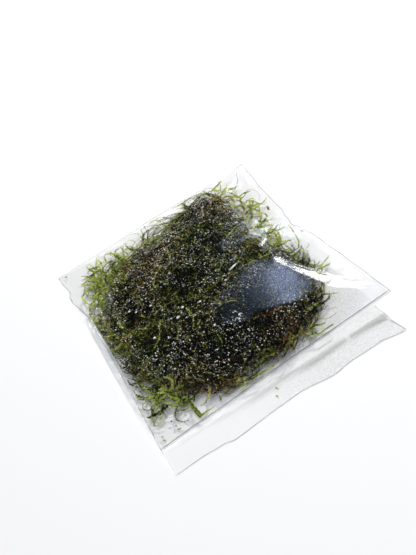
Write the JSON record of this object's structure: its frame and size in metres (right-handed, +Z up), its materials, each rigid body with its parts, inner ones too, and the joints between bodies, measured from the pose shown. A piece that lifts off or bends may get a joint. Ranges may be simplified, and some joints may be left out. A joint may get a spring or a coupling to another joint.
{
  "type": "bagged portion of java moss",
  "caption": "Flat tangled portion of java moss packed in a clear press-seal film bag that lies on its underside.",
  "frame": {"origin": "on the surface the bag lies on, under the middle of the bag", "axes": "X along the press seal, +Y from the open lips to the folded bottom, +Z up through the lying bag"},
  "size_m": [0.12, 0.132, 0.0122],
  "materials": {
    "clear_film": "clear polyethylene film, glossy, slightly wrinkled",
    "moss_mat": "wet tangled moss, dark green with olive and brown patches",
    "moss_shoot": "wet yellow-green leafy shoots"
  },
  "bodies": {
    "root": {"bag_pouch": "clear_film", "moss_mat": "moss_mat", "moss_shoot_01": "moss_shoot", "moss_shoot_02": "moss_shoot", "moss_shoot_03": "moss_shoot", "moss_shoot_04": "moss_shoot", "moss_shoot_05": "moss_shoot", "moss_shoot_06": "moss_shoot", "moss_shoot_07": "moss_shoot", "moss_shoot_08": "moss_shoot", "moss_shoot_09": "moss_shoot", "moss_shoot_10": "moss_shoot", "moss_shoot_11": "moss_shoot", "moss_shoot_12": "moss_shoot", "moss_shoot_13": "moss_shoot", "moss_shoot_14": "moss_shoot", "moss_shoot_15": "moss_shoot", "moss_shoot_16": "moss_shoot", "moss_shoot_17": "moss_shoot", "moss_shoot_18": "moss_shoot", "moss_shoot_19": "moss_shoot", "moss_shoot_20": "moss_shoot", "moss_shoot_21": "moss_shoot", "moss_shoot_22": "moss_shoot", "moss_shoot_23": "moss_shoot", "moss_shoot_24": "moss_shoot", "moss_shoot_25": "moss_shoot"}
  },
  "joints": []
}
